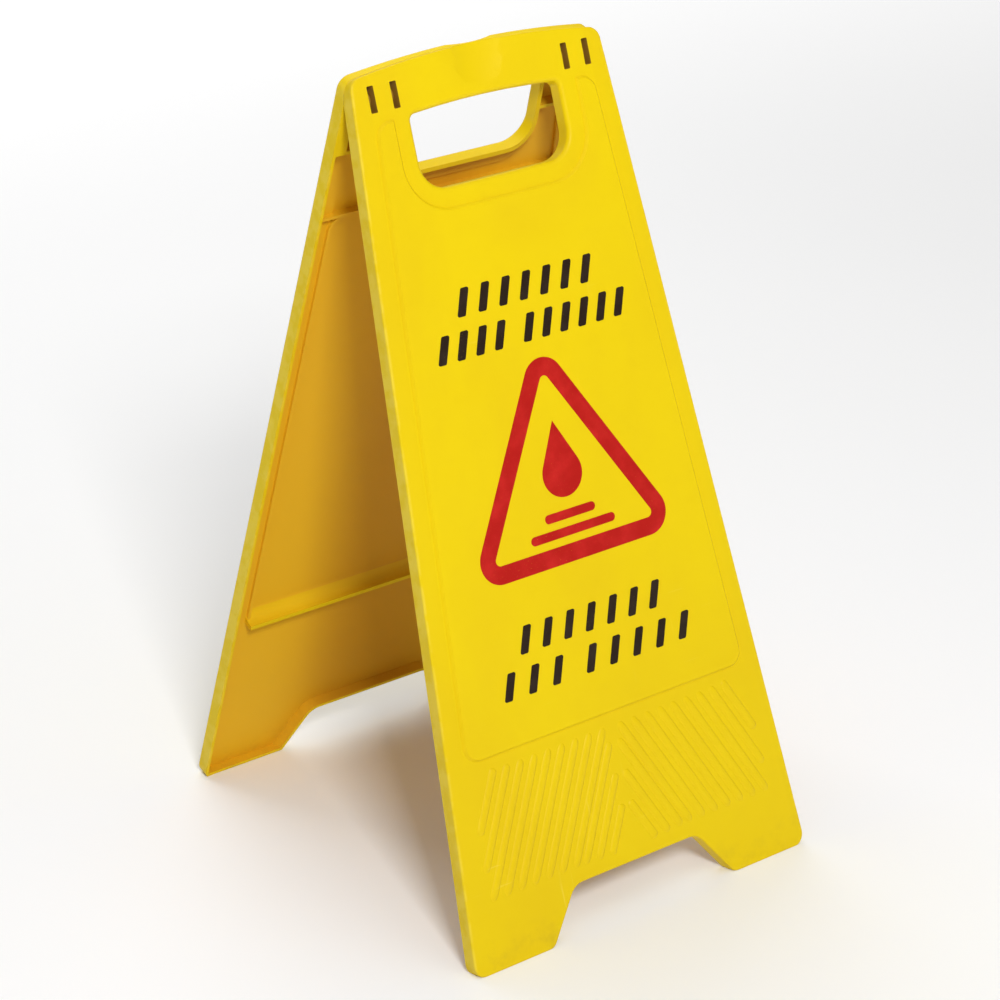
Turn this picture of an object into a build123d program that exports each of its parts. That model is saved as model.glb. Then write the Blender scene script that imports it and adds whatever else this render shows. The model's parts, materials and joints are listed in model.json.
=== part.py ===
from build123d import *
import os
from math import acos, cos, radians, sin, sqrt, tan

# Folding wet floor sign: two identical moulded panels hinged at their top corners on two pins.
# Millimetres, +Z up, X across the sign, -Y to the front. The origin is on the floor under the hinge.
# A panel is drawn flat, in (u, v, w): u across, v up its slope from the floor, w outward from the
# parting plane where the two panels meet when folded. standing() then leans it into the open sign.

# Overall size and stance
PANEL_LENGTH = 620.0  # floor to top corners, up the slope
FOOT_WIDTH = 303.0  # across the outside of the feet
TOP_WIDTH = 210.0  # across the top corners
OPEN_ANGLE = 34.0  # between the panels when the tops meet and stop
CROWN = 8.0  # rise of the arched top edge over the corners

# Moulding
RIM_DEPTH = 12.0  # parting plane to the outer face of a panel
WALL = 2.5
EDGE_RADIUS = 1.5  # softened outer edge
TOP_CORNER_RADIUS = 10.0
RIM_GAP = 0.3  # between the two rims when folded
STOP_GAP = 0.3  # between the bevelled tops when open

# Feet
NOTCH_HEIGHT = 34.0
NOTCH_TOP_WIDTH = 112.0
NOTCH_FOOT_WIDTH = 160.0
NOTCH_RADIUS = 14.0
FOOT_RADIUS = 10.0

# Carrying handle
BLOCK_WIDTH = 42.0  # hinge block, side edge to handle opening at the top corners
GRIP_HEIGHT = 36.0  # top edge down to the opening
OPENING_HEIGHT = 56.0
OPENING_RADIUS = 20.0  # lower corners
OPENING_TOP_RADIUS = 5.0
OPENING_EDGE_RADIUS = 3.5  # rolled edge on the outer face
COLLAR_WALL = 3.5
SCALLOP_WIDTH = 44.0  # thumb scallop in the grip
SCALLOP_DEPTH = 4.0
SCALLOP_FOOT = 5.0  # opening up to the bottom of the scallop

# Raised print pad
PAD_FOOT = 144.7  # floor to the lower edge of the pad
PAD_INSET = 15.0
PAD_RISE = 2.0
PAD_RADIUS = 12.0
PAD_BEVEL = 1.8
PAD_CLEAR_OF_OPENING = 14.0
PAD_BELOW_BLOCK = 31.0  # top corners down to the top of the pad

# Stiffening inside
CROSS_RIB = 3.5
CROSS_RIB_SWEEP = 10.0  # radius of its swept upper side
LOW_RIB_HEIGHT = 4.0
LOW_RIB_BELOW_OPENING = 27.0
FRAME_RIB_HEIGHT = 2.5  # the rib that follows the sides of the pad
BLOCK_LENGTH = 41.0  # hinge axis down to the end of the hinge block
BLOCK_RAIL = 9.0  # solid rail left beside the cored pocket

# Hinge
HINGE_DROP = 15.0  # top corners down to the hinge axis
PIN_DIAMETER = 5.0
PIN_CLEARANCE = 0.05  # radial, running fit in a bore
PIN_LENGTH = 33.0
PIN_CHAMFER = 0.5
PIN_END_GAP = 0.5
KNUCKLE_RADIUS = 5.5
KNUCKLE_WIDTH = 12.0
KNUCKLE_PITCH = 18.5  # inner to outer knuckle
KNUCKLE_CLEARANCE = 0.4
KNUCKLE_INSET = 15.6  # side edge to the middle of the outer knuckle
WINDOW_WIDTH = 5.2
WINDOW_HEIGHT = 18.5
WINDOW_RADIUS = 0.8

# Printing on the pad: four rows of slanted dashes round a triangle with a falling drop
INK = 0.2
PRINT_FOOT_MARGIN = 33.5  # pad edge up to the lowest row
PRINT_HEAD_MARGIN = 69.0  # top row up to the handle opening
ARTWORK_HEIGHT = 289.0  # drawn height, fitted between the two margins
ROW_HEIGHT = 19.5
ROW_PITCH = 29.0
UPPER_SHORT_ROW = ((7,), 120.0)  # dashes in each group, length of the row
UPPER_LONG_ROW = ((4, 6), 166.0)
LOWER_SHORT_ROW = ((7,), 129.0)
LOWER_LONG_ROW = ((3, 5), 170.0)
GROUP_GAP = 9.0
DASH_WIDTH = 7.0
DASH_SLANT = 20.0  # degrees from upright
DASH_RADIUS = 1.5
TRIANGLE_FOOT = 81.0  # lowest row up to the outer base of the triangle
TRIANGLE_HEIGHT = 146.5
TRIANGLE_RADIUS = 17.0
TRIANGLE_STROKE = 13.0
DROP_RADIUS = 17.0
DROP_HEIGHT = 55.0
DROP_RISE = 33.0  # inner base of the triangle up to the drop
RIPPLES = ((9.0, 74.0), (21.0, 44.0))  # height over the inner base, length
RIPPLE_THICKNESS = 6.5

FAR = 400.0  # beyond the whole part, for cutting tools
HALF_ANGLE = OPEN_ANGLE / 2
HINGE_V = PANEL_LENGTH - HINGE_DROP
HINGE_Z = HINGE_V * cos(radians(HALF_ANGLE))
PAD_TOP = PANEL_LENGTH - PAD_BELOW_BLOCK
PAD_FACE = RIM_DEPTH + PAD_RISE
OPENING_HALF = TOP_WIDTH / 2 - BLOCK_WIDTH
OPENING_TOP = PANEL_LENGTH + CROWN - GRIP_HEIGHT
OPENING_FOOT = OPENING_TOP - OPENING_HEIGHT
OPENING_CROWN = CROWN * (OPENING_HALF / (TOP_WIDTH / 2)) ** 2


def half_width(v):
    """Half the width of a panel at height v up its slope."""
    return (FOOT_WIDTH + (TOP_WIDTH - FOOT_WIDTH) * v / PANEL_LENGTH) / 2


OUTER_KNUCKLE = half_width(HINGE_V) - KNUCKLE_INSET
INNER_KNUCKLE = OUTER_KNUCKLE - KNUCKLE_PITCH
PIN_OUTER_END = OUTER_KNUCKLE + KNUCKLE_WIDTH / 2 + 1


def slab(sketch, low, high):
    """A flat sketch given thickness from w = low to w = high."""
    return extrude(Pos(0, 0, low) * sketch, amount=high - low)


def near(face, points, reach=0.5):
    """The corners of a flat face that lie at the given (u, v) points."""
    wanted = [Vector(*point) for point in points]
    return [c for c in face.vertices() if any((Vector(*c) - p).length < reach for p in wanted)]


def outline():
    """The whole panel in its plane; the feet run past the floor and are cut to it later."""
    below = -RIM_DEPTH * tan(radians(HALF_ANGLE)) - 1
    slope = (NOTCH_FOOT_WIDTH - NOTCH_TOP_WIDTH) / 2 / NOTCH_HEIGHT
    inner_foot = NOTCH_TOP_WIDTH / 2 + slope * (NOTCH_HEIGHT - below)
    outer_foot = half_width(below)
    corner = TOP_WIDTH / 2
    feet = [
        (-corner, PANEL_LENGTH),
        (-outer_foot, below),
        (-inner_foot, below),
        (-NOTCH_TOP_WIDTH / 2, NOTCH_HEIGHT),
        (NOTCH_TOP_WIDTH / 2, NOTCH_HEIGHT),
        (inner_foot, below),
        (outer_foot, below),
        (corner, PANEL_LENGTH),
    ]
    top = ThreePointArc(feet[-1], (0, PANEL_LENGTH + CROWN), feet[0])
    face = make_face(Polyline(*feet) + top)
    face = fillet(near(face, [feet[0], feet[-1]]), TOP_CORNER_RADIUS)
    face = fillet(near(face, feet[3:5]), NOTCH_RADIUS)
    return fillet(near(face, feet[1:3] + feet[5:7]), FOOT_RADIUS)


def opening(grow=0.0):
    """The handle opening: an arched top, straight sides and wide lower corners."""
    shoulder = OPENING_TOP - OPENING_CROWN
    corners = [
        (-OPENING_HALF, shoulder),
        (-OPENING_HALF, OPENING_FOOT),
        (OPENING_HALF, OPENING_FOOT),
        (OPENING_HALF, shoulder),
    ]
    face = make_face(Polyline(*corners) + ThreePointArc(corners[-1], (0, OPENING_TOP), corners[0]))
    face = fillet(near(face, corners[1:3]), OPENING_RADIUS)
    face = fillet(near(face, [corners[0], corners[3]]), OPENING_TOP_RADIUS)
    return offset(face, amount=grow) if grow else face


def between_sides(foot, head):
    """A flat area from v = foot to v = head, inset from the side edges as far as the pad is."""
    slope = (FOOT_WIDTH - TOP_WIDTH) / 2 / PANEL_LENGTH
    inset = PAD_INSET * sqrt(1 + slope**2)
    low = half_width(foot) - inset
    high = half_width(head) - inset
    return make_face(Polyline((-high, head), (-low, foot), (low, foot), (high, head), close=True))


def pad(shrink=0.0):
    """The raised print area, cut back round the handle opening."""
    face = between_sides(PAD_FOOT, PAD_TOP)
    face = fillet(face.vertices(), PAD_RADIUS)
    bay_half = OPENING_HALF + PAD_CLEAR_OF_OPENING
    bay = Pos(0, PAD_TOP) * Rectangle(2 * bay_half, 2 * (PAD_TOP - OPENING_FOOT + PAD_CLEAR_OF_OPENING))
    bay = fillet(bay.vertices().sort_by(Axis.Y)[:2], OPENING_RADIUS + PAD_CLEAR_OF_OPENING)
    face = face - bay
    return offset(face, amount=-shrink) if shrink else face


def below_floor(rise=0.0):
    """Everything under the floor plane moved up by rise, in the panel's own axes."""
    block = Pos(0, -FAR / 2, 0) * Box(2 * FAR, FAR, FAR)
    return Pos(0, rise / cos(radians(HALF_ANGLE)), 0) * Rot(HALF_ANGLE, 0, 0) * block


def above_hinge():
    """The wedge above the hinge axis that lets the panels lean until their tops meet."""
    block = Pos(0, FAR / 2, -FAR / 2) * Box(2 * FAR, FAR, FAR)
    return Pos(0, HINGE_V, STOP_GAP / 2) * Rot(HALF_ANGLE, 0, 0) * block


def along_hinge(radius, start, end):
    """A round bar on the hinge axis from u = start to u = end."""
    bar = Cylinder(radius, abs(end - start))
    return Pos((start + end) / 2, HINGE_V, 0) * Rot(0, 90, 0) * bar


def scallop(grow=0.0):
    """The round-ended groove of the thumb scallop, its cutting radius grown by grow."""
    dip = (SCALLOP_WIDTH**2 / 4 + SCALLOP_DEPTH**2) / (2 * SCALLOP_DEPTH)
    reach = dip + grow
    half = CenterArc((0, 0), reach, -90, 90) + Polyline((reach, 0), (reach, FAR), (0, FAR), (0, -reach))
    groove = revolve(make_face(half), Axis.Y)
    return Pos(0, OPENING_TOP + SCALLOP_FOOT + SCALLOP_WIDTH / 2, RIM_DEPTH - SCALLOP_DEPTH + dip) * groove


def hinge_blocks():
    """The thick ends of the grip that hold the knuckles, down to their ledge."""
    foot = HINGE_V - BLOCK_LENGTH
    both = outline() & Pos(0, foot + FAR / 2) * Rectangle(FAR, FAR)
    between = Pos(0, foot) * Rectangle(2 * OPENING_HALF, FAR)
    pockets = block_pocket(-1) + block_pocket(1)
    return slab(both - between, 0, RIM_DEPTH) - slab(pockets, -1, RIM_DEPTH - WALL)


def block_pocket(side):
    """The cored pocket under the knuckles of one hinge block."""
    low = HINGE_V - BLOCK_LENGTH + WALL
    high = HINGE_V - WINDOW_HEIGHT / 2 - WALL
    inner = OPENING_HALF + COLLAR_WALL
    outer = half_width(high) - BLOCK_RAIL
    return Pos(side * (inner + outer) / 2, (low + high) / 2) * Rectangle(outer - inner, high - low)


def cross_rib():
    """The full-depth rib behind the foot of the pad, as wide as the pad, its upper side swept."""
    crest = PAD_FOOT + WALL
    floor = PAD_FACE - WALL
    middle = CROSS_RIB_SWEEP * (1 - sqrt(0.5))
    foot = (crest, floor - CROSS_RIB_SWEEP)
    top = (crest + CROSS_RIB_SWEEP, floor)
    sweep = ThreePointArc(foot, (crest + middle, floor - middle), top)
    under = crest - CROSS_RIB
    back = [top, (top[0], PAD_FACE), (under, PAD_FACE), (under, 0), (crest, 0), foot]
    section = make_face(Polyline(*back) + sweep)
    return extrude(Plane.YZ * section, amount=half_width(PAD_FOOT) - PAD_INSET, both=True)


def low_rib():
    """The low rib under the handle."""
    shape = Pos(0, OPENING_FOOT - LOW_RIB_BELOW_OPENING) * Rectangle(FAR, WALL)
    return slab(shape, RIM_DEPTH - WALL - LOW_RIB_HEIGHT, RIM_DEPTH)


def frame_rib():
    """The fine rib round the inside of the pad, from the cross rib up to a rounded head."""
    face = between_sides(PAD_FOOT, OPENING_FOOT - LOW_RIB_BELOW_OPENING - WALL / 2)
    face = fillet(face.vertices().sort_by(Axis.Y)[2:], PAD_RADIUS)
    return slab(face - offset(face, amount=-WALL), RIM_DEPTH - WALL - FRAME_RIB_HEIGHT, RIM_DEPTH)


def hollow():
    """The space inside the panel, open towards the other panel."""
    inner = offset(outline(), amount=-WALL)
    tray = slab(inner, -1, RIM_DEPTH - WALL) - below_floor(WALL)
    space = tray + slab(pad(WALL), RIM_DEPTH - WALL - 1, PAD_FACE - WALL)
    space -= slab(opening(COLLAR_WALL), -2, PAD_FACE)
    return space - hinge_blocks() - cross_rib() - low_rib() - frame_rib() - scallop(WALL)


def window(side, place):
    """A window through the hinge block, over one knuckle."""
    shape = fillet(Rectangle(WINDOW_WIDTH, WINDOW_HEIGHT).vertices(), WINDOW_RADIUS)
    return slab(Pos(side * place, HINGE_V) * shape, -KNUCKLE_RADIUS, RIM_DEPTH + 1)


def knuckle(side, place, grow=0.0):
    """One hinge knuckle, half sunk in its block; grown, it is the room the other panel's turns in."""
    half = KNUCKLE_WIDTH / 2 + grow
    return along_hinge(KNUCKLE_RADIUS + grow, side * place - half, side * place + half)


def pin_channel(side, own):
    """Room round the pin, and its bore through this panel's own knuckle."""
    bore = PIN_DIAMETER / 2 + PIN_CLEARANCE
    start = OPENING_HALF - 1
    end = PIN_OUTER_END + PIN_END_GAP
    near_end = own - KNUCKLE_WIDTH / 2
    far_end = own + KNUCKLE_WIDTH / 2
    channel = along_hinge(bore + KNUCKLE_CLEARANCE, side * start, side * near_end)
    channel += along_hinge(bore, side * near_end, side * far_end)
    return channel + along_hinge(bore + KNUCKLE_CLEARANCE, side * far_end, side * end)


def panel():
    """One moulding. Its left corner carries the inner knuckle, its right corner the outer one."""
    body = slab(outline() - opening(), RIM_GAP / 2, RIM_DEPTH)
    face = body.faces().sort_by(Axis.Z)[-1]
    body = fillet(face.inner_wires().edges(), OPENING_EDGE_RADIUS)
    face = body.faces().sort_by(Axis.Z)[-1]
    body = fillet(face.outer_wire().edges(), EDGE_RADIUS)
    body -= below_floor()
    raised = slab(pad(), RIM_DEPTH - WALL, PAD_FACE)
    raised = chamfer(raised.faces().sort_by(Axis.Z)[-1].edges(), PAD_BEVEL)
    body = body + raised - hollow() - above_hinge() - scallop()
    for side, own, mate in ((-1, INNER_KNUCKLE, OUTER_KNUCKLE), (1, OUTER_KNUCKLE, INNER_KNUCKLE)):
        body -= window(side, own) + window(side, mate)
        body += knuckle(side, own)
        body -= knuckle(side, mate, KNUCKLE_CLEARANCE) + pin_channel(side, own)
    return body


def pin(side, own):
    """A hinge pin: full size where the front panel grips it, slimmer where the rear panel turns."""
    inner_end = PIN_OUTER_END - PIN_LENGTH
    body = along_hinge(PIN_DIAMETER / 2, side * inner_end, side * PIN_OUTER_END)
    body = chamfer(body.edges().filter_by(GeomType.CIRCLE), PIN_CHAMFER)
    half = KNUCKLE_WIDTH / 2 - PIN_CHAMFER
    grip = along_hinge(PIN_DIAMETER / 2 + PIN_CLEARANCE, side * (own - half), side * (own + half))
    return body + grip


def dash_row(groups, length):
    """One row of slanted dashes, centred on u = 0 and standing on v = 0."""
    lean = ROW_HEIGHT * tan(radians(DASH_SLANT))
    count = sum(groups)
    pitch = (length - lean - DASH_WIDTH - GROUP_GAP * (len(groups) - 1)) / (count - 1)
    corners = [(0, 0), (DASH_WIDTH, 0), (DASH_WIDTH + lean, ROW_HEIGHT), (lean, ROW_HEIGHT)]
    dash = make_face(Polyline(*corners, close=True))
    dash = fillet(dash.vertices(), DASH_RADIUS)
    places = []
    left = -length / 2
    for group in groups:
        places += [left + pitch * step for step in range(group)]
        left = places[-1] + pitch + GROUP_GAP
    return Sketch() + [Pos(place, 0) * dash for place in places]


def triangle_outline(inset):
    """A rounded upright triangle on v = 0, drawn inset from its outer edge."""
    radius = TRIANGLE_RADIUS
    peak = TRIANGLE_HEIGHT + radius
    half = peak / sqrt(3)
    face = make_face(Polyline((-half, 0), (half, 0), (0, peak), close=True))
    face = fillet(face.vertices(), radius)
    return offset(face, amount=-inset) if inset else face


def drop_over_ripples():
    """A water drop over two ripples, standing on v = 0."""
    reach = DROP_HEIGHT - DROP_RADIUS
    turn = acos(DROP_RADIUS / reach)
    shoulder = (DROP_RADIUS * sin(turn), DROP_RADIUS * cos(turn))
    tip = make_face(Polyline((-shoulder[0], shoulder[1]), (0, 0), shoulder, (0, reach), close=True))
    mark = Pos(0, DROP_RISE + DROP_RADIUS) * (Circle(DROP_RADIUS) + tip)
    for height, length in RIPPLES:
        mark += Pos(0, height) * SlotOverall(length, RIPPLE_THICKNESS)
    return mark


def printed(sketch, height):
    """A layer of ink on the pad; height is measured in the artwork, from its lowest row."""
    foot = PAD_FOOT + PRINT_FOOT_MARGIN
    fit = (OPENING_FOOT - PRINT_HEAD_MARGIN - foot) / ARTWORK_HEIGHT
    return slab(Pos(0, foot + height * fit) * scale(sketch, by=fit), PAD_FACE, PAD_FACE + INK)


def prints():
    """Every printed layer of one panel, by name."""
    top_row = ARTWORK_HEIGHT - ROW_HEIGHT
    ring = triangle_outline(0) - triangle_outline(TRIANGLE_STROKE)
    return {
        "upper_short_dashes": printed(dash_row(*UPPER_SHORT_ROW), top_row),
        "upper_long_dashes": printed(dash_row(*UPPER_LONG_ROW), top_row - ROW_PITCH),
        "lower_short_dashes": printed(dash_row(*LOWER_SHORT_ROW), ROW_PITCH),
        "lower_long_dashes": printed(dash_row(*LOWER_LONG_ROW), 0),
        "triangle_print": printed(ring, TRIANGLE_FOOT),
        "drop_print": printed(drop_over_ripples(), TRIANGLE_FOOT + TRIANGLE_STROKE),
    }


def standing(flat):
    """Leans a flat-drawn piece into the front half of the standing sign."""
    upright = Pos(0, 0, -HINGE_V) * Rot(90, 0, 0) * flat
    return Pos(0, 0, HINGE_Z) * Rot(-HALF_ANGLE, 0, 0) * upright


def main():
    os.makedirs("parts", exist_ok=True)
    pieces = {"panel": panel(), **prints()}
    nodes = {
        "left_hinge_pin": standing(pin(-1, INNER_KNUCKLE)),
        "right_hinge_pin": standing(pin(1, OUTER_KNUCKLE)),
    }
    for name, piece in pieces.items():
        front = standing(piece)
        nodes["front_" + name] = front
        nodes["rear_" + name] = Rot(0, 0, 180) * front
    for name, shape in nodes.items():
        export_step(shape, "parts/" + name + ".step")


main()
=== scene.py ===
import json
from math import cos, hypot, pi, radians, sin, tan

import bmesh
import bpy
from bpy.props import FloatProperty, FloatVectorProperty, IntProperty, PointerProperty
from mathutils import Euler, Matrix, Vector
from mathutils.bvhtree import BVHTree


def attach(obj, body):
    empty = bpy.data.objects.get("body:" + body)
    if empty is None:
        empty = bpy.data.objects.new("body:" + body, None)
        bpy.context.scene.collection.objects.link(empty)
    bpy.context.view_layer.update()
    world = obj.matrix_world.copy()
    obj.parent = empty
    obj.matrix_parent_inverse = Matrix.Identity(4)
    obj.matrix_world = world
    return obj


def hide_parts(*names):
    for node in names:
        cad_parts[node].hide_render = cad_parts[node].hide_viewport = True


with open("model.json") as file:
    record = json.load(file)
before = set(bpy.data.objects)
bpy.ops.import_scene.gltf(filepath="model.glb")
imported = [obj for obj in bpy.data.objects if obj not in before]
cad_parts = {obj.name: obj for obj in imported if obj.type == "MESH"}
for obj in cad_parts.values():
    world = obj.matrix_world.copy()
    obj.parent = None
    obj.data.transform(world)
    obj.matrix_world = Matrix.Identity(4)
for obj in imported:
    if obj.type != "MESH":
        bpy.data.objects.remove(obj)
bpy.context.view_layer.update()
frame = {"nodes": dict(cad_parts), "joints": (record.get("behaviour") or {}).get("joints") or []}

bl_info = {
    "name": "Folding Wet Floor Sign",
    "version": (1, 0, 0),
    "blender": (4, 5, 0),
    "location": "View3D > Sidebar > Floor Sign",
    "description": "Finishes a folding floor sign: moulded panels, hinge pins, grip ribs and printing",
    "category": "Object",
}

# The two panels lean on each other; both are drawn flat in (across, up the slope, outward).
HINGE = frame["joints"][0]
HINGE_HEIGHT = HINGE["pos_m"][2]
LEAN = radians(max(abs(limit) for limit in HINGE["range_deg"]) / 2)
SLOPE_TO_HINGE = HINGE_HEIGHT / cos(LEAN)
FEET = SLOPE_TO_HINGE * sin(LEAN)
SIDES = {"front": 0.0, "rear": pi}

# Shape of a panel, in its own plane
SLOPE_LENGTH = 0.620
FOOT_WIDTH = 0.303
TOP_WIDTH = 0.210
SIDE_SLOPE = (FOOT_WIDTH - TOP_WIDTH) / 2 / SLOPE_LENGTH
FACE = 0.012
PAD_FOOT = 0.1447
PAD_INSET = 0.015
PAD_BEVEL = 0.002

# Parts of a panel whose colour carries painted shade. The windows are told by their middles, from the
#  middle of the panel, and the ledge inside is where the pad steps out at its foot.
WINDOWS = (0.0905, 0.0720)
WINDOW_HALF_WIDTH = 0.0032
WINDOW_HALF_HEIGHT = 0.0098
KNUCKLE_REACH = 0.0066
LEDGE_HEIGHT = 0.0126
LEDGE_DEPTH = 0.0009
TRAY_REACH = 0.016

# How near a surface still counts as that surface
RIM_SKIN = 0.0005
SIDE_SKIN = 0.0012
FACE_SKIN = 0.0002

# Wear, tone and painted shade: where each starts and where it is full, up the slope or in from the
# side edge
WORN_FOOT = (0.20, 0.0)
WORN_GRIP = (0.56, 0.62)
DIRTY_FOOT = (0.030, 0.0)
RUBBED_EDGE = (0.0028, 0.0004)
# Painted shade, deepening in from the side edge towards the middle of the hollow back
CORE_SHADE = (0.045, 0.125)

# Surface of the plastic and of the ink
PLASTIC_IOR = 1.49
INK_IOR = 1.5
DULL_GLOSS = 0.16
PANEL_CREASE = radians(32)
PIN_CREASE = radians(35)
WEAVE = 5200

# Grip ribs
SHORTEST_RIB = 0.018
RIB_RUN_OUT = 0.08
RIB_STEPS = 28
THINNEST_END = 0.02

# Floor, lights (place, aim, size, share of the key light's power) and camera
FLOOR_DROP = 0.0003
FAR_FLOOR = (1.3, 5.0)
MIDDLE = (0, 0, 0.3)
LIGHTS = {
    "key": ((-1.1, -2.7, 2.45), MIDDLE, (0.75, 0.75), 1.0),
    "top": ((0, 0, 3.2), MIDDLE, (3.2, 3.2), 0.3),
    "rear_wash": ((0.6, 2.4, 2.4), (0.8, 1.9, 0), (3.4, 2.6), 0.65),
    "front_wash": ((0.9, -2.9, 2.6), (1.1, -2.6, 0), (3.4, 2.6), 0.2),
}
CAMERA_TURN = radians(-35.5)
CAMERA_RISE = radians(24.19)
CAMERA_ROLL = radians(-1.53)
CAMERA_TARGET = Vector((0.0142, 0.0, 0.2537))
CAMERA_DISTANCE = 2.2117
SENSOR_WIDTH = 36.0


def half_width(up):
    """Half the width of a panel at a height up its slope."""
    return FOOT_WIDTH / 2 - SIDE_SLOPE * up


def to_stance(side):
    """The matrix from a panel's flat drawing to its place in the open sign."""
    flat = Matrix.Translation((0, -FEET, 0)) @ Matrix.Rotation(pi / 2 - LEAN, 4, "X")
    return Matrix.Rotation(SIDES[side], 4, "Z") @ flat


# ---------------------------------------------------------------- sizes and colours


class SIGN_PG_finish(bpy.types.PropertyGroup):
    """Colours and surface of the plastic and the inks"""

    panel_colour: FloatVectorProperty(
        name="Panel colour",
        description="Moulded plastic of both panels",
        default=(0.79, 0.58, 0.0010),
        size=3,
        min=0,
        max=1,
        subtype="COLOR",
    )
    deep_colour: FloatVectorProperty(
        name="Thick plastic colour",
        description="Richer tone where the plastic is thick or the colour has flowed unevenly",
        default=(0.73, 0.50, 0.003),
        size=3,
        min=0,
        max=1,
        subtype="COLOR",
    )
    # Painted shade: the hollow backs are coloured browner to stand in for the shade between the two
    # panels.
    inside_shade_colour: FloatVectorProperty(
        name="Inside shade colour",
        description="Painted shade on the hollow backs, browner than the faces",
        default=(0.78, 0.45, 0.016),
        size=3,
        min=0,
        max=1,
        subtype="COLOR",
    )
    # Painted shade: browner still towards the middle of the hollow backs, where the shade between the
    # panels is deepest.
    core_shade_colour: FloatVectorProperty(
        name="Core shade colour",
        description="Painted shade, browner towards the middle of the hollow backs",
        default=(0.56, 0.25, 0.015),
        size=3,
        min=0,
        max=1,
        subtype="COLOR",
    )
    scuff_colour: FloatVectorProperty(
        name="Scuff colour",
        description="Pale line a scratch leaves in the plastic",
        default=(0.96, 0.80, 0.16),
        size=3,
        min=0,
        max=1,
        subtype="COLOR",
    )
    # Floor dirt on the feet, and also dark painted shade in the hinge windows and round the knuckles.
    grime_and_shade_colour: FloatVectorProperty(
        name="Grime and shade colour",
        description="Floor dirt on the feet, and painted shade in the hinge windows and round the knuckles",
        default=(0.26, 0.13, 0.03),
        size=3,
        min=0,
        max=1,
        subtype="COLOR",
    )
    black_colour: FloatVectorProperty(
        name="Black ink",
        description="Ink of the dashes",
        default=(0.020, 0.010, 0.005),
        size=3,
        min=0,
        max=1,
        subtype="COLOR",
    )
    red_colour: FloatVectorProperty(
        name="Red ink",
        description="Ink of the triangle and the drop",
        default=(0.44, 0.008, 0.005),
        size=3,
        min=0,
        max=1,
        subtype="COLOR",
    )
    grain: FloatProperty(
        name="Grain height",
        description="Height of the fine grain the mould leaves on the faces",
        default=0.00004,
        min=0,
        max=0.001,
        precision=5,
        subtype="DISTANCE",
        unit="LENGTH",
    )
    waviness: FloatProperty(
        name="Waviness",
        description="Height of the shallow sinks of the thin walls",
        default=0.0006,
        min=0,
        max=0.01,
        precision=4,
        subtype="DISTANCE",
        unit="LENGTH",
    )


class SIGN_PG_ribs(bpy.types.PropertyGroup):
    """Sizes of the leaning grip ribs"""

    spacing: FloatProperty(
        name="Rib spacing",
        description="Distance between neighbouring ribs, square to their run",
        default=0.0108,
        min=0.004,
        max=0.05,
        precision=4,
        subtype="DISTANCE",
        unit="LENGTH",
    )
    width: FloatProperty(
        name="Rib width",
        description="Width of the rounded section of a rib",
        default=0.0072,
        min=0.0005,
        max=0.02,
        precision=4,
        subtype="DISTANCE",
        unit="LENGTH",
    )
    height: FloatProperty(
        name="Rib height",
        description="Height of the rounded section of a rib over its centre line",
        default=0.0015,
        min=0.0001,
        max=0.0018,
        precision=4,
        subtype="DISTANCE",
        unit="LENGTH",
    )
    sink: FloatProperty(
        name="Rib sink",
        description="How deep the centre line of a rib lies under the face",
        default=0.0006,
        min=0,
        max=0.001,
        precision=4,
        subtype="DISTANCE",
        unit="LENGTH",
    )
    lean: FloatProperty(
        name="Rib lean",
        description="Lean of the ribs from upright, towards the middle of the panel",
        default=radians(27),
        min=radians(5),
        max=radians(60),
        subtype="ANGLE",
        unit="ROTATION",
    )
    foot: FloatProperty(
        name="Band foot",
        description="Height of the lower ends of the ribs up the slope",
        default=0.044,
        min=0,
        max=0.12,
        precision=3,
        subtype="DISTANCE",
        unit="LENGTH",
    )
    head: FloatProperty(
        name="Band head",
        description="Height of the upper ends of the ribs up the slope",
        default=0.1375,
        min=0.05,
        max=0.14,
        precision=4,
        subtype="DISTANCE",
        unit="LENGTH",
    )
    margin: FloatProperty(
        name="Side margin",
        description="Plain strip between the ribs and the side edge",
        default=0.019,
        min=0.002,
        max=0.06,
        precision=3,
        subtype="DISTANCE",
        unit="LENGTH",
    )
    sides: IntProperty(
        name="Rib facets",
        description="Facets round the section of a rib",
        default=14,
        min=6,
        max=48,
    )


class SIGN_PG_stage(bpy.types.PropertyGroup):
    """Floor, light and lens"""

    floor_radius: FloatProperty(
        name="Floor radius",
        description="Radius of the round studio floor",
        default=9.0,
        min=1,
        max=50,
        subtype="DISTANCE",
        unit="LENGTH",
    )
    floor_colour: FloatVectorProperty(
        name="Floor colour",
        description="Pale studio floor",
        default=(0.95, 0.95, 0.95),
        size=3,
        min=0,
        max=1,
        subtype="COLOR",
    )
    far_glow: FloatProperty(
        name="Far glow",
        description="Brightness of the floor's own glow far out",
        default=0.7,
        min=0,
        max=2,
        subtype="FACTOR",
    )
    key: FloatProperty(
        name="Key light",
        description="Power of the soft light in front, which the other lights follow",
        default=80.0,
        min=0,
        max=2000,
        subtype="POWER",
        unit="POWER",
    )
    sky: FloatProperty(
        name="Studio glow",
        description="Brightness of the even light from all round",
        default=0.2,
        min=0,
        max=10,
        subtype="FACTOR",
    )
    lens: FloatProperty(
        name="Lens",
        description="Focal length of the camera on a 36 mm sensor, in millimetres",
        default=108.0,
        min=20,
        max=300,
        subtype="DISTANCE_CAMERA",
    )


# ---------------------------------------------------------------- shader writing


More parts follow.
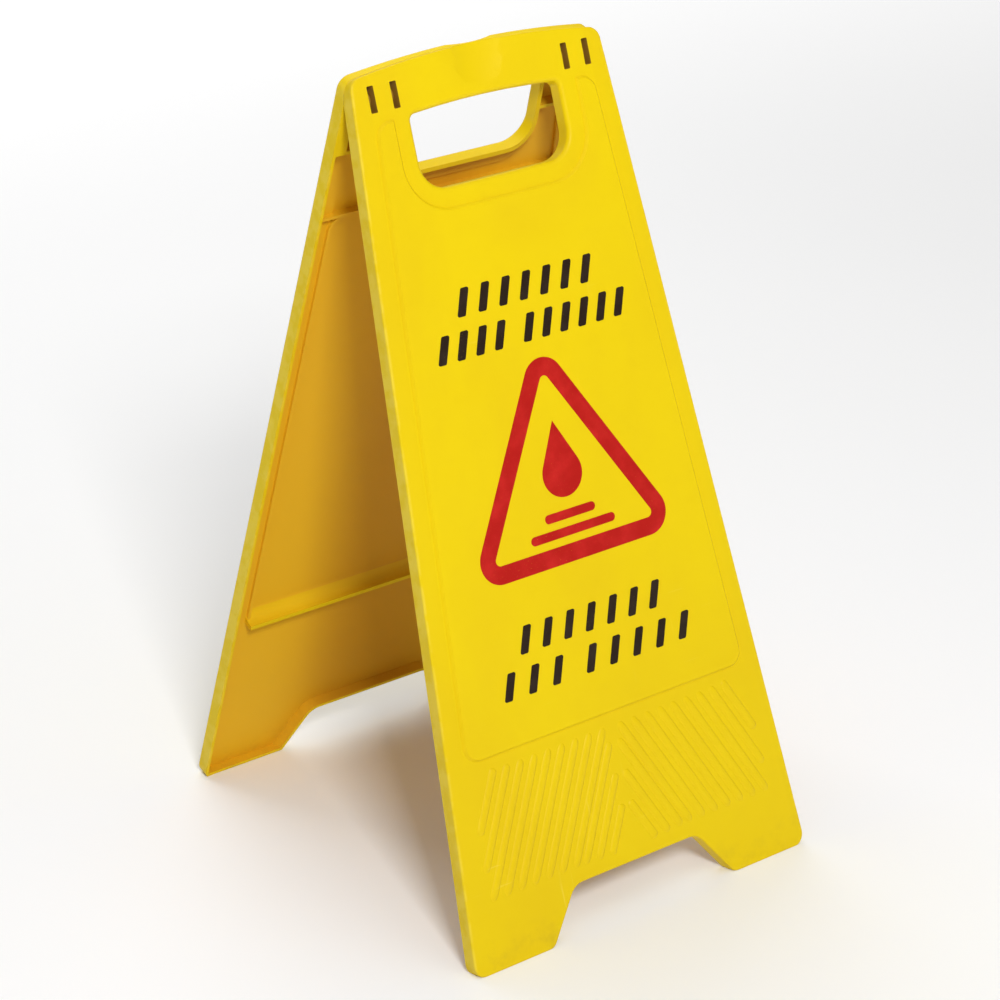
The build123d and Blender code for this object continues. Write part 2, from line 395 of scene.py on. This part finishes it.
class Value:
    """A shader socket that takes part in Python arithmetic."""

    def __init__(self, tree, socket):
        self.tree = tree
        self.socket = socket

    def math(self, operation, *values):
        step = self.tree.nodes.new("ShaderNodeMath")
        step.operation = operation
        for port, value in zip(step.inputs, values):
            if isinstance(value, Value):
                self.tree.links.new(value.socket, port)
            else:
                port.default_value = value
        return Value(self.tree, step.outputs[0])

    def __add__(self, other):
        return self.math("ADD", self, other)

    __radd__ = __add__

    def __sub__(self, other):
        return self.math("SUBTRACT", self, other)

    def __rsub__(self, other):
        return self.math("SUBTRACT", other, self)

    def __mul__(self, other):
        return self.math("MULTIPLY", self, other)

    __rmul__ = __mul__

    def __abs__(self):
        return self.math("ABSOLUTE", self)

    def __or__(self, other):
        return self.math("MAXIMUM", self, other)

    def __and__(self, other):
        return self.math("MINIMUM", self, other)

    def sine(self):
        return self.math("SINE", self)


class Finish:
    """A material under construction."""

    def __init__(self, name):
        self.material = bpy.data.materials.new(name)
        self.material.use_nodes = True
        self.tree = self.material.node_tree
        self.tree.nodes.clear()

    def node(self, kind, settings=None, sockets=None, out=0):
        """Adds a node: its settings come first, then the values or links of its sockets."""
        made = self.tree.nodes.new(kind)
        for key, value in (settings or {}).items():
            setattr(made, key, value)
        for key, value in (sockets or {}).items():
            if isinstance(value, Value):
                self.tree.links.new(value.socket, made.inputs[key])
            else:
                made.inputs[key].default_value = value
        return Value(self.tree, made.outputs[out]) if made.outputs else made

    def stance(self, side):
        """Across, up the slope and outward of a panel, from the object's own coordinates."""
        point = self.node("ShaderNodeTexCoord", out="Object")
        turn = Euler((pi / 2 - LEAN, 0, SIDES[side]))
        foot = (0, -FEET * cos(SIDES[side]), 0)
        place = {"Vector": point, "Location": foot, "Rotation": turn}
        return self.node("ShaderNodeMapping", {"vector_type": "TEXTURE"}, place)

    def split(self, vector):
        apart = self.node("ShaderNodeSeparateXYZ", sockets={"Vector": vector})
        return [Value(self.tree, port) for port in apart.socket.node.outputs]

    def stretch(self, vector, scale, turn=(0, 0, 0)):
        place = {"Vector": vector, "Rotation": turn, "Scale": scale}
        return self.node("ShaderNodeMapping", {"vector_type": "POINT"}, place)

    def noise(self, vector, scale, detail=2.0, roughness=0.5, distortion=0.0):
        sockets = {
            "Vector": vector,
            "Scale": scale,
            "Detail": detail,
            "Roughness": roughness,
            "Distortion": distortion,
        }
        return self.node("ShaderNodeTexNoise", {"noise_dimensions": "3D"}, sockets)

    def fade(self, value, start, end):
        """0 at start, 1 at end, smooth between."""
        span = {"Value": value, "From Min": start, "From Max": end, "To Min": 0.0, "To Max": 1.0}
        if start > end:
            span.update({"From Min": end, "From Max": start, "To Min": 1.0, "To Max": 0.0})
        return self.node("ShaderNodeMapRange", {"interpolation_type": "SMOOTHSTEP"}, span)

    def streaks(self, vector, scale, turn, start):
        """Thin broken lines: a noise that is drawn out one way, with only its peaks kept."""
        drawn_out = self.noise(self.stretch(vector, scale, turn), 1.0, 2.0, 0.5)
        return self.fade(drawn_out, start, start + 0.06)

    def mix(self, share, first, second):
        """Colour first where share is 0, second where it is 1."""
        made = self.tree.nodes.new("ShaderNodeMix")
        made.data_type = "RGBA"
        ports = {"Factor_Float": share, "A_Color": first, "B_Color": second}
        for port in made.inputs:
            value = ports.get(port.identifier)
            if isinstance(value, Value):
                self.tree.links.new(value.socket, port)
            elif value is not None:
                port.default_value = (*value, 1.0) if hasattr(value, "__len__") else value
        return Value(self.tree, next(p for p in made.outputs if p.identifier == "Result_Color"))

    def bump(self, height, distance, normal=None):
        sockets = {"Height": height, "Strength": 1.0, "Distance": distance}
        if normal is not None:
            sockets["Normal"] = normal
        return self.node("ShaderNodeBump", sockets=sockets)

    def surface(self, **sockets):
        """Ends the material in a Principled shader."""
        named = {key.replace("_", " "): value for key, value in sockets.items()}
        shader = self.node("ShaderNodeBsdfPrincipled", {"distribution": "MULTI_GGX"}, named)
        self.node("ShaderNodeOutputMaterial", sockets={"Surface": shader})
        return self.material


def moulded_plastic(name, side, finish):
    """Yellow moulded plastic of one panel, with its own wear and with painted shade on its hollow back
    and hinge, from the panel's flat axes.
    """
    make = Finish(name)
    point = make.stance(side)
    across, up = make.split(point)[:2]
    mark = make.node("ShaderNodeAttribute", {"attribute_name": "inside"}, out="Fac")
    inside = mark & 1.0
    edge = half_width(up) - abs(across)

    flow = make.noise(make.stretch(point, (9, 5, 9)), 1.0, 3.0, 0.55, 0.4)
    mottle = make.noise(point, 70.0, 3.0, 0.6)
    speck = make.noise(point, 700.0, 2.0, 0.5)
    colour = make.mix(make.fade(flow, 0.35, 0.72) * 0.55, finish.panel_colour, finish.deep_colour)
    colour = make.mix(make.fade(mottle, 0.45, 0.85) * 0.18, colour, finish.deep_colour)

    # The plain band round the pad is a little richer. The hollow back gets painted shade, browner
    # towards
    #  its middle, and the hinge windows and knuckles get dark painted shade.
    below_pad = make.fade(up, PAD_FOOT + PAD_BEVEL, PAD_FOOT - PAD_BEVEL / 2)
    beside_pad = make.fade(edge, PAD_INSET, PAD_INSET - PAD_BEVEL)
    colour = make.mix((below_pad | beside_pad) * 0.22, colour, finish.deep_colour)
    colour = make.mix(inside * 0.95, colour, finish.inside_shade_colour)
    colour = make.mix(inside * make.fade(edge, *CORE_SHADE) * 0.6, colour, finish.core_shade_colour)
    colour = make.mix(make.fade(mark, 1.0, 2.0) * 0.8, colour, finish.grime_and_shade_colour)

    # Scratches: thin streaks in two directions, broken up, mostly low on the panel and on the grip.
    steep = make.streaks(point, (260, 14, 60), (0, 0, 0.35), 0.70)
    flat = make.streaks(point, (22, 300, 60), (0, 0, -0.5), 0.71)
    patch = make.fade(make.noise(point, 16.0, 2.0), 0.48, 0.66)
    worn = make.fade(up, *WORN_FOOT) * 0.7 + make.fade(up, *WORN_GRIP) * 0.3
    scratch = (steep | flat) * patch * (worn + 0.25) * (1 - inside)
    colour = make.mix(scratch * 0.3, colour, finish.scuff_colour)

    # Edges rub pale; the feet pick up dirt.
    rubbed = make.fade(edge, *RUBBED_EDGE) * make.fade(mottle, 0.40, 0.62)
    colour = make.mix(rubbed * 0.2, colour, finish.scuff_colour)
    dirt = make.fade(up, *DIRTY_FOOT) * make.fade(make.noise(point, 45.0, 4.0, 0.65), 0.40, 0.75)
    colour = make.mix(dirt * 0.22, colour, finish.grime_and_shade_colour)

    smear = make.noise(make.stretch(point, (14, 30, 14)), 1.0, 3.0, 0.6, 0.8)
    roughness = 0.36 + smear * 0.16 + inside * 0.10 + scratch * 0.15 + dirt * 0.2
    grain = speck * (1 - inside * 0.4) + make.noise(point, 1900.0, 1.0) * 0.4 - scratch * 0.5
    wave = make.noise(make.stretch(point, (11, 8, 11)), 1.0, 1.0, 0.4)
    normal = make.bump(wave, finish.waviness)
    normal = make.bump(grain, finish.grain, normal)
    return make.surface(
        Base_Color=colour,
        Roughness=roughness,
        Normal=normal,
        IOR=PLASTIC_IOR,
        Specular_IOR_Level=DULL_GLOSS,
    )


def ink(name, side, colour, finish):
    """Screen-printed ink: an even film with a faint weave, tiny pinholes and rubbed patches."""
    make = Finish(name)
    point = make.stance(side)
    across, up = make.split(point)[:2]
    film = make.noise(point, 60.0, 3.0, 0.6)
    lighter = tuple(min(1.0, part * 1.5 + 0.012) for part in colour)
    tone = make.mix(make.fade(film, 0.35, 0.8) * 0.5, tuple(colour), lighter)
    pinhole = make.fade(make.noise(point, 1400.0, 2.0, 0.6), 0.70, 0.76)
    rubbed = make.fade(make.noise(point, 24.0, 2.0), 0.56, 0.70)
    worn = pinhole * (0.25 + rubbed * 0.6)
    tone = make.mix(worn, tone, finish.panel_colour)
    weave = (across * WEAVE).sine() + (up * WEAVE).sine()
    normal = make.bump(weave + make.noise(point, 500.0, 2.0) * 2.0, 0.000008)
    return make.surface(
        Base_Color=tone,
        Roughness=0.32 + film * 0.16 + worn * 0.2,
        Normal=normal,
        IOR=INK_IOR,
        Specular_IOR_Level=DULL_GLOSS,
    )


def pin_plastic(name, finish):
    """Smooth turned plastic of the hinge pins, with fine rings where it has run in its bore."""
    make = Finish(name)
    point = make.node("ShaderNodeTexCoord", out="Object")
    ring = make.noise(make.stretch(point, (2600, 20, 20)), 1.0, 2.0)
    cloud = make.noise(point, 180.0, 2.0)
    # A cloud mixes two tones of plastic; the second is the colour used for the painted shade of the
    # hollow backs.
    colour = make.mix(make.fade(cloud, 0.4, 0.7) * 0.5, finish.deep_colour, finish.inside_shade_colour)
    roughness = 0.3 + ring * 0.15
    normal = make.bump(ring, 0.00001)
    return make.surface(Base_Color=colour, Roughness=roughness, Normal=normal, IOR=PLASTIC_IOR)


# ---------------------------------------------------------------- mesh writing


def add_piece(name, mesh, material, body):
    """Puts a finished mesh in the scene as a piece that moves with its body."""
    piece = bpy.data.objects.new(name, mesh)
    bpy.context.scene.collection.objects.link(piece)
    mesh.materials.clear()
    mesh.materials.append(material)
    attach(piece, body)
    return piece


def joined_mesh(name, node):
    """A copy of a CAD node's triangles with its corners joined into one skin."""
    source = frame["nodes"][node].data
    mesh = bpy.data.meshes.new(name)
    corners = [tuple(corner.co) for corner in source.vertices]
    mesh.from_pydata(corners, [], [tuple(face.vertices) for face in source.polygons])
    skin = bmesh.new()
    skin.from_mesh(mesh)
    bmesh.ops.remove_doubles(skin, verts=skin.verts, dist=2e-6)
    bmesh.ops.dissolve_degenerate(skin, edges=skin.edges, dist=1e-7)
    skin.to_mesh(mesh)
    skin.free()
    return mesh


def settle_normals(piece, angle):
    """Keeps flat faces flat and rounded edges round."""
    mesh = piece.data
    mesh.shade_smooth()
    mesh.set_sharp_from_angle(angle=angle)
    weigh = piece.modifiers.new("weigh", "WEIGHTED_NORMAL")
    weigh.mode = "FACE_AREA"
    weigh.weight = 50
    weigh.keep_sharp = True
    evaluated = piece.evaluated_get(bpy.context.evaluated_depsgraph_get())
    settled = bpy.data.meshes.new_from_object(evaluated)
    piece.modifiers.clear()
    piece.data = settled
    settled.name = piece.name
    bpy.data.meshes.remove(mesh)


def in_window(across, up, out):
    """True on the walls of a hinge window, under the outer face."""
    beside = any(abs(abs(across) - place) < WINDOW_HALF_WIDTH for place in WINDOWS)
    return beside and abs(up - SLOPE_TO_HINGE) < WINDOW_HALF_HEIGHT and out < FACE - FACE_SKIN


def on_knuckle(across, up, out):
    """True on the knuckles and bores round the hinge line, and not on the side of the panel."""
    near = hypot(up - SLOPE_TO_HINGE, out) < KNUCKLE_REACH
    return near and abs(across) <= half_width(up) - SIDE_SKIN


def mark_inside(mesh, side):
    """Marks every face, for the painted shade and the duller back: 0 outside, 0.5 on the ledge, 1 in
    the hollow back, 2 at the hinge.

    A face lies in the hollow back if plastic stands between it and the outer side.
    """
    flat = to_stance(side).inverted()
    outward = to_stance(side).to_3x3() @ Vector((0, 0, 1))
    corners = [corner.co for corner in mesh.vertices]
    skin = BVHTree.FromPolygons(corners, [face.vertices for face in mesh.polygons])
    marks = mesh.attributes.new("inside", "FLOAT", "FACE")
    for face in mesh.polygons:
        across, up, out = flat @ face.center
        hit = skin.ray_cast(face.center + face.normal * RIM_SKIN, outward, TRAY_REACH)[0]
        hidden = hit is not None and out > RIM_SKIN
        # The ledge faces up into the light, so it takes only half the painted shade of the hollow
        # back.
        on_ledge = PAD_FOOT < up < PAD_FOOT + LEDGE_HEIGHT and out < FACE - LEDGE_DEPTH
        if in_window(across, up, out) or on_knuckle(across, up, out):
            mark = 2.0
        elif hidden:
            mark = 0.5 if on_ledge else 1.0
        else:
            mark = 0.0
        marks.data[face.index].value = mark


# ---------------------------------------------------------------- ribs


class Tree:
    """A geometry node tree under construction."""

    def __init__(self, name):
        self.group = bpy.data.node_groups.new(name, "GeometryNodeTree")
        self.ports = {}

    def port(self, name, kind, where="INPUT"):
        made = self.group.interface.new_socket(name=name, in_out=where, socket_type=kind)
        self.ports[name] = made.identifier

    def node(self, kind, settings=None, sockets=None):
        made = self.group.nodes.new(kind)
        for key, value in (settings or {}).items():
            setattr(made, key, value)
        for key, value in (sockets or {}).items():
            if isinstance(value, bpy.types.NodeSocket):
                self.group.links.new(value, made.inputs[key])
            else:
                made.inputs[key].default_value = value
        return made

    def math(self, operation, *values):
        sockets = dict(enumerate(values))
        return self.node("ShaderNodeMath", {"operation": operation}, sockets).outputs[0]


def rib_tree():
    """Rounded ribs that run out at both ends, along every edge of the input, in the flat drawing."""
    tree = Tree("grip_ribs")
    tree.port("Geometry", "NodeSocketGeometry", where="OUTPUT")
    tree.port("Runs", "NodeSocketGeometry")
    tree.port("Rib width", "NodeSocketFloat")
    tree.port("Rib height", "NodeSocketFloat")
    tree.port("Run-out", "NodeSocketFloat")
    tree.port("Facets", "NodeSocketInt")
    tree.port("Steps", "NodeSocketInt")
    tree.port("Material", "NodeSocketMaterial")
    given = tree.node("NodeGroupInput").outputs

    run = tree.node("GeometryNodeMeshToCurve", sockets={"Mesh": given["Runs"]}).outputs[0]
    steps = {"Curve": run, "Count": given["Steps"]}
    run = tree.node("GeometryNodeResampleCurve", sockets=steps).outputs[0]
    run = tree.node("GeometryNodeSetCurveNormal", {"mode": "Z_UP"}, {"Curve": run}).outputs[0]

    # The section grows from each end of a run along a quarter of an ellipse.
    share = tree.node("GeometryNodeSplineParameter").outputs["Factor"]
    near_end = tree.math("MINIMUM", share, tree.math("SUBTRACT", 1.0, share))
    rise = tree.math("MINIMUM", tree.math("DIVIDE", near_end, given["Run-out"]), 1.0)
    short_of_full = tree.math("POWER", tree.math("SUBTRACT", 1.0, rise), 2.0)
    round_end = tree.math("SQRT", tree.math("SUBTRACT", 1.0, short_of_full))
    size = tree.math("MAXIMUM", round_end, THINNEST_END)

    circle = {"Resolution": given["Facets"], "Radius": 1.0}
    ring = tree.node("GeometryNodeCurvePrimitiveCircle", sockets=circle).outputs["Curve"]
    half = tree.math("MULTIPLY", given["Rib width"], 0.5)
    radii = {"X": half, "Y": given["Rib height"], "Z": 1.0}
    squash = tree.node("ShaderNodeCombineXYZ", sockets=radii).outputs[0]
    squashed = {"Geometry": ring, "Scale": squash}
    section = tree.node("GeometryNodeTransform", sockets=squashed).outputs[0]
    swept = {"Curve": run, "Profile Curve": section, "Scale": size, "Fill Caps": True}
    rib = tree.node("GeometryNodeCurveToMesh", sockets=swept).outputs[0]
    rib = tree.node("GeometryNodeSetShadeSmooth", sockets={"Geometry": rib}).outputs[0]
    rib = tree.node("GeometryNodeRealizeInstances", sockets={"Geometry": rib}).outputs[0]
    coated = {"Geometry": rib, "Material": given["Material"]}
    rib = tree.node("GeometryNodeSetMaterial", sockets=coated).outputs[0]
    tree.node("NodeGroupOutput", sockets={"Geometry": rib})
    return tree


def rib_runs(ribs):
    """Centre lines of the ribs of one panel: they climb towards the middle from both sides."""
    step = ribs.spacing / cos(ribs.lean)
    outward = tan(ribs.lean)
    at_margin = half_width(ribs.head) - ribs.margin

    def run(across, head, foot):
        return (across - (head - foot) * outward, foot), (across, head)

    # Ribs that start at the head of the band fall to its foot, or to the side margin.
    runs = []
    across = -step / 2
    while across > -at_margin:
        foot = max(ribs.foot, ribs.head - (at_margin + across) / (outward - SIDE_SLOPE))
        if ribs.head - foot > SHORTEST_RIB:
            runs.append(run(across, ribs.head, foot))
        across -= step

    # Ribs that would pass the middle line start beside it, further down.
    past = step / 2
    while ribs.head - past / outward - ribs.foot >= SHORTEST_RIB:
        runs.append(run(-step / 4, ribs.head - past / outward, ribs.foot))
        past += step
    mirrored = [((-low[0], low[1]), (-top[0], top[1])) for low, top in runs]
    return runs + mirrored


# ---------------------------------------------------------------- operators


class SIGN_OT_panels(bpy.types.Operator):
    """Build the two moulded panels with their plastic"""

    bl_idname = "sign.panels"
    bl_label = "Moulded Panels"

    def execute(self, context):
        for side in SIDES:
            node = side + "_panel"
            mesh = joined_mesh(side + "_moulding", node)
            mark_inside(mesh, side)
            plastic = moulded_plastic(side + "_yellow_plastic", side, context.scene.sign_finish)
            piece = add_piece(side + "_moulding", mesh, plastic, side)
            settle_normals(piece, PANEL_CREASE)
            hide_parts(node)
        return {"FINISHED"}


class SIGN_OT_pins(bpy.types.Operator):
    """Build the two hinge pins"""

    bl_idname = "sign.pins"
    bl_label = "Hinge Pins"

    def execute(self, context):
        plastic = pin_plastic("pin_plastic", context.scene.sign_finish)
        for hand in ("left", "right"):
            node = hand + "_hinge_pin"
            mesh = joined_mesh(hand + "_pin", node)
            piece = add_piece(hand + "_pin", mesh, plastic, "front")
            settle_normals(piece, PIN_CREASE)
            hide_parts(node)
        return {"FINISHED"}


class SIGN_OT_ribs(bpy.types.Operator):
    """Build the leaning grip ribs below the print pads"""

    bl_idname = "sign.ribs"
    bl_label = "Grip Ribs"

    def execute(self, context):
        ribs = context.scene.sign_ribs
        tree = rib_tree()
        for side in SIDES:
            name = side + "_grip_ribs"
            ends = [(x, y, FACE - ribs.sink) for run in rib_runs(ribs) for x, y in run]
            links = [(first, first + 1) for first in range(0, len(ends), 2)]
            lines = bpy.data.meshes.new(name + "_runs")
            lines.from_pydata(ends, links, [])
            piece = bpy.data.objects.new(name, lines)
            context.scene.collection.objects.link(piece)
            plastic = bpy.data.materials[side + "_yellow_plastic"]
            grow = piece.modifiers.new("ribs", "NODES")
            grow.node_group = tree.group
            grow[tree.ports["Rib width"]] = ribs.width
            grow[tree.ports["Rib height"]] = ribs.height
            grow[tree.ports["Run-out"]] = RIB_RUN_OUT
            grow[tree.ports["Facets"]] = ribs.sides
            grow[tree.ports["Steps"]] = RIB_STEPS
            grow[tree.ports["Material"]] = plastic
            evaluated = piece.evaluated_get(context.evaluated_depsgraph_get())
            mesh = bpy.data.meshes.new_from_object(evaluated)
            piece.modifiers.clear()
            piece.data = mesh
            mesh.name = name
            if not mesh.polygons:
                raise RuntimeError("the grip ribs came out empty")
            mesh.transform(to_stance(side))
            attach(piece, side)
        return {"FINISHED"}


class SIGN_OT_prints(bpy.types.Operator):
    """Give the printed layers their inks"""

    bl_idname = "sign.prints"
    bl_label = "Printing"

    def execute(self, context):
        finish = context.scene.sign_finish
        for side in SIDES:
            black = ink(side + "_black_ink", side, finish.black_colour, finish)
            red = ink(side + "_red_ink", side, finish.red_colour, finish)
            for node, layer in frame["nodes"].items():
                if node.startswith(side) and node != side + "_panel":
                    layer.data.materials.clear()
                    layer.data.materials.append(black if "dashes" in node else red)
        return {"FINISHED"}


class SIGN_OT_stage(bpy.types.Operator):
    """Set the floor, the soft studio light and the camera"""

    bl_idname = "sign.stage"
    bl_label = "Stage"

    def execute(self, context):
        stage = context.scene.sign_stage
        make_floor(context, stage)
        make_lights(context, stage)
        make_camera(context, stage)
        return {"FINISHED"}


def make_floor(context, stage):
    """A round pale floor. It glows far out, past the reach of the lights, to stay as pale there."""
    disc = bmesh.new()
    bmesh.ops.create_circle(disc, cap_ends=True, segments=96, radius=stage.floor_radius)
    mesh = bpy.data.meshes.new("studio_floor")
    disc.to_mesh(mesh)
    disc.free()
    mesh.transform(Matrix.Translation((0, 0, -FLOOR_DROP)))
    floor = bpy.data.objects.new("studio_floor", mesh)
    context.scene.collection.objects.link(floor)
    make = Finish("pale_floor")
    point = make.node("ShaderNodeTexCoord", out="Object")
    cloud = make.noise(point, 1.5, 2.0)
    darker = tuple(part * 0.985 for part in stage.floor_colour)
    colour = make.mix(cloud, tuple(stage.floor_colour), darker)
    away = make.node("ShaderNodeVectorMath", {"operation": "LENGTH"}, {"Vector": point}, out="Value")
    glow = make.mix(make.fade(away, *FAR_FLOOR), (0.0, 0.0, 0.0), (stage.far_glow,) * 3)
    pale = make.surface(
        Base_Color=colour,
        Roughness=0.75,
        Specular_IOR_Level=0.2,
        Emission_Color=glow,
        Emission_Strength=1.0,
    )
    mesh.materials.append(pale)


def area_light(context, name, place, aim, size, power):
    lamp = bpy.data.lights.new(name, "AREA")
    lamp.shape = "RECTANGLE"
    lamp.size, lamp.size_y = size
    lamp.energy = power
    light = bpy.data.objects.new(name, lamp)
    context.scene.collection.objects.link(light)
    light.location = place
    light.rotation_euler = (Vector(aim) - Vector(place)).to_track_quat("-Z", "Y").to_euler()


def make_lights(context, stage):
    """A key light from the front left, a wide one overhead, two that wash the floor, and a glow."""
    for name, (place, aim, size, share) in LIGHTS.items():
        area_light(context, name, place, aim, size, stage.key * share)
    world = bpy.data.worlds.new("studio")
    world.use_nodes = True
    glow = world.node_tree.nodes["Background"]
    glow.inputs["Color"].default_value = (1, 1, 1, 1)
    glow.inputs["Strength"].default_value = stage.sky
    context.scene.world = world
    context.scene.view_settings.view_transform = "Standard"
    context.scene.view_settings.look = "None"


def make_camera(context, stage):
    """Looks down on the sign from its left, turned a little about the line of sight."""
    lens = bpy.data.cameras.new("camera")
    lens.lens = stage.lens
    lens.sensor_width = SENSOR_WIDTH
    camera = bpy.data.objects.new("camera", lens)
    context.scene.collection.objects.link(camera)
    level = Vector((sin(CAMERA_TURN), -cos(CAMERA_TURN), 0)) * cos(CAMERA_RISE)
    back = level + Vector((0, 0, sin(CAMERA_RISE)))
    right = Vector((cos(CAMERA_TURN), sin(CAMERA_TURN), 0))
    over = back.cross(right)
    side = right * cos(CAMERA_ROLL) + over * sin(CAMERA_ROLL)
    top = over * cos(CAMERA_ROLL) - right * sin(CAMERA_ROLL)
    matrix = Matrix((side, top, back)).transposed().to_4x4()
    matrix.translation = CAMERA_TARGET + back * CAMERA_DISTANCE
    camera.matrix_world = matrix
    context.scene.camera = camera


class SIGN_PT_sidebar(bpy.types.Panel):
    bl_label = "Floor Sign"
    bl_idname = "SIGN_PT_sidebar"
    bl_space_type = "VIEW_3D"
    bl_region_type = "UI"
    bl_category = "Floor Sign"

    def draw(self, context):
        scene = context.scene
        for title, group in (
            ("Finish", scene.sign_finish),
            ("Grip ribs", scene.sign_ribs),
            ("Stage", scene.sign_stage),
        ):
            box = self.layout.box()
            box.label(text=title)
            for key in group.bl_rna.properties.keys():
                if key not in ("rna_type", "name"):
                    box.prop(group, key)
        for operator in OPERATORS:
            self.layout.operator(operator.bl_idname)


OPERATORS = (SIGN_OT_panels, SIGN_OT_pins, SIGN_OT_ribs, SIGN_OT_prints, SIGN_OT_stage)
GROUPS = {"sign_finish": SIGN_PG_finish, "sign_ribs": SIGN_PG_ribs, "sign_stage": SIGN_PG_stage}


def register():
    for kind in (*GROUPS.values(), *OPERATORS, SIGN_PT_sidebar):
        bpy.utils.register_class(kind)
    for name, kind in GROUPS.items():
        setattr(bpy.types.Scene, name, PointerProperty(type=kind))


def unregister():
    for name in GROUPS:
        delattr(bpy.types.Scene, name)
    for kind in reversed((*GROUPS.values(), *OPERATORS, SIGN_PT_sidebar)):
        bpy.utils.unregister_class(kind)


def main():
    register()
    bpy.ops.sign.panels()
    bpy.ops.sign.pins()
    bpy.ops.sign.ribs()
    bpy.ops.sign.prints()
    bpy.ops.sign.stage()


if __name__ == "__main__":
    main()
